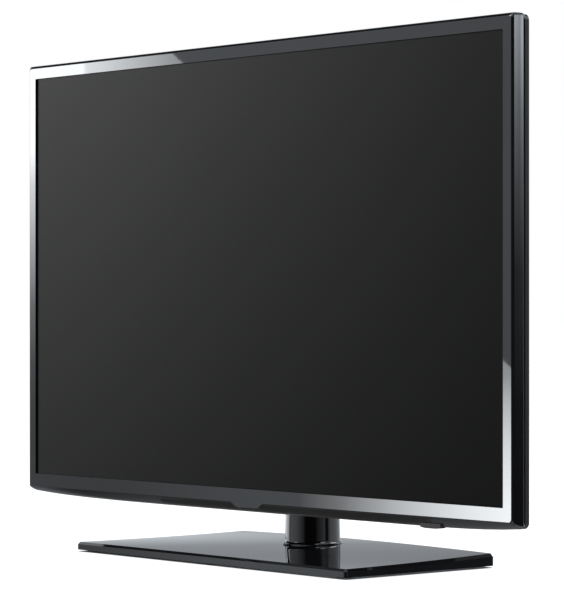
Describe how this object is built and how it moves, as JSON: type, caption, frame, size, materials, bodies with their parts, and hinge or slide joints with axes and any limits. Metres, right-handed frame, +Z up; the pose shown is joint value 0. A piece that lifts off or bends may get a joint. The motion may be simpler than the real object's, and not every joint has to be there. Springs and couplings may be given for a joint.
{
  "type": "flat screen television",
  "caption": "Wide flat television with a thin glossy frame, a swivelling round neck, a domed trapezoid base, and its panel, lights, boards, speakers and menu stick inside.",
  "frame": {"origin": "on the floor under the middle of the stand base, half way between the set's two ends", "axes": "+X along the screen to the viewer's right, +Y from the viewer to the wall, +Z up"},
  "size_m": [1.058, 0.271, 0.6905],
  "materials": {
    "gloss_black": "piano black gloss",
    "rear_plastic": "fine moulded grain",
    "screen": "matt anti-glare",
    "window": "smoked clear",
    "inner_plastic": "moulded",
    "light_sheet": "white satin",
    "sheet_steel": "zinc plated",
    "screw_steel": "blackened",
    "circuit_board": "solder mask",
    "aluminium": "extruded",
    "coil": "varnished",
    "socket_metal": "plated",
    "jack_plastic": "moulded",
    "cable": "flat flex",
    "rubber": "matt"
  },
  "bodies": {
    "stand": {"base_cover": "gloss_black", "base_plate": "sheet_steel", "base_feet": "rubber", "base_screws": "screw_steel", "swivel_seat": "sheet_steel", "swivel_washer": "inner_plastic"},
    "screen": {"front_bezel": "gloss_black", "sensor_window": "window", "receiver_board": "circuit_board", "picture_glass": "screen", "panel_frame": "inner_plastic", "brightness_film": "light_sheet", "prism_film": "light_sheet", "diffuser_film": "light_sheet", "diffuser_plate": "light_sheet", "reflector_tray": "light_sheet", "diffuser_posts": "light_sheet", "led_strips": "circuit_board", "led_lenses": "light_sheet", "back_chassis": "sheet_steel", "wall_mount_bosses": "sheet_steel", "stand_bracket": "sheet_steel", "board_spacers": "sheet_steel", "board_screws": "screw_steel", "main_board": "circuit_board", "power_board": "circuit_board", "timing_board": "circuit_board", "processor_heatsink": "aluminium", "transformers": "coil", "power_capacitors": "coil", "power_heatsinks": "aluminium", "power_inlet": "coil", "usb_socket": "socket_metal", "hdmi_sockets": "socket_metal", "network_socket": "socket_metal", "av_jacks": "jack_plastic", "antenna_jack": "socket_metal", "driver_boards": "circuit_board", "driver_films": "inner_plastic", "panel_cable": "cable", "timing_cables": "cable", "lamp_lead": "cable", "speaker_left": "inner_plastic", "speaker_right": "inner_plastic", "jog_board": "circuit_board", "jog_switch": "inner_plastic", "rear_cover": "rear_plastic", "cover_screws": "screw_steel", "neck_core": "aluminium", "neck_screws": "screw_steel", "neck_shell": "gloss_black", "neck_rear_cover": "rear_plastic", "swivel_retainer": "sheet_steel", "retainer_screw": "screw_steel"},
    "jog_ring": {"jog_ring": "inner_plastic"},
    "jog_yoke": {"jog_yoke": "inner_plastic"},
    "jog_stick": {"jog_stick": "sheet_steel", "jog_knob": "rear_plastic"}
  },
  "joints": [
    {"name": "swivel", "type": "hinge", "parent": "stand", "child": "screen", "pos_m": [0, 0.0475, 0.012], "axis": [0, 0, 1], "range_deg": [-20, 20]},
    {"name": "menu_up_down", "type": "hinge", "parent": "screen", "child": "jog_ring", "pos_m": [0.36, 0.0185, 0.165], "axis": [1, 0, 0], "range_deg": [-8, 8], "stiffness_Nm_per_rad": 0.03},
    {"name": "menu_left_right", "type": "hinge", "parent": "jog_ring", "child": "jog_yoke", "pos_m": [0.36, 0.0185, 0.165], "axis": [0, 0, 1], "range_deg": [-8, 8], "stiffness_Nm_per_rad": 0.03},
    {"name": "menu_press", "type": "slide", "parent": "jog_yoke", "child": "jog_stick", "axis": [0, -1, 0], "range_m": [0, 0.0006], "stiffness_N_per_m": 1500}
  ]
}
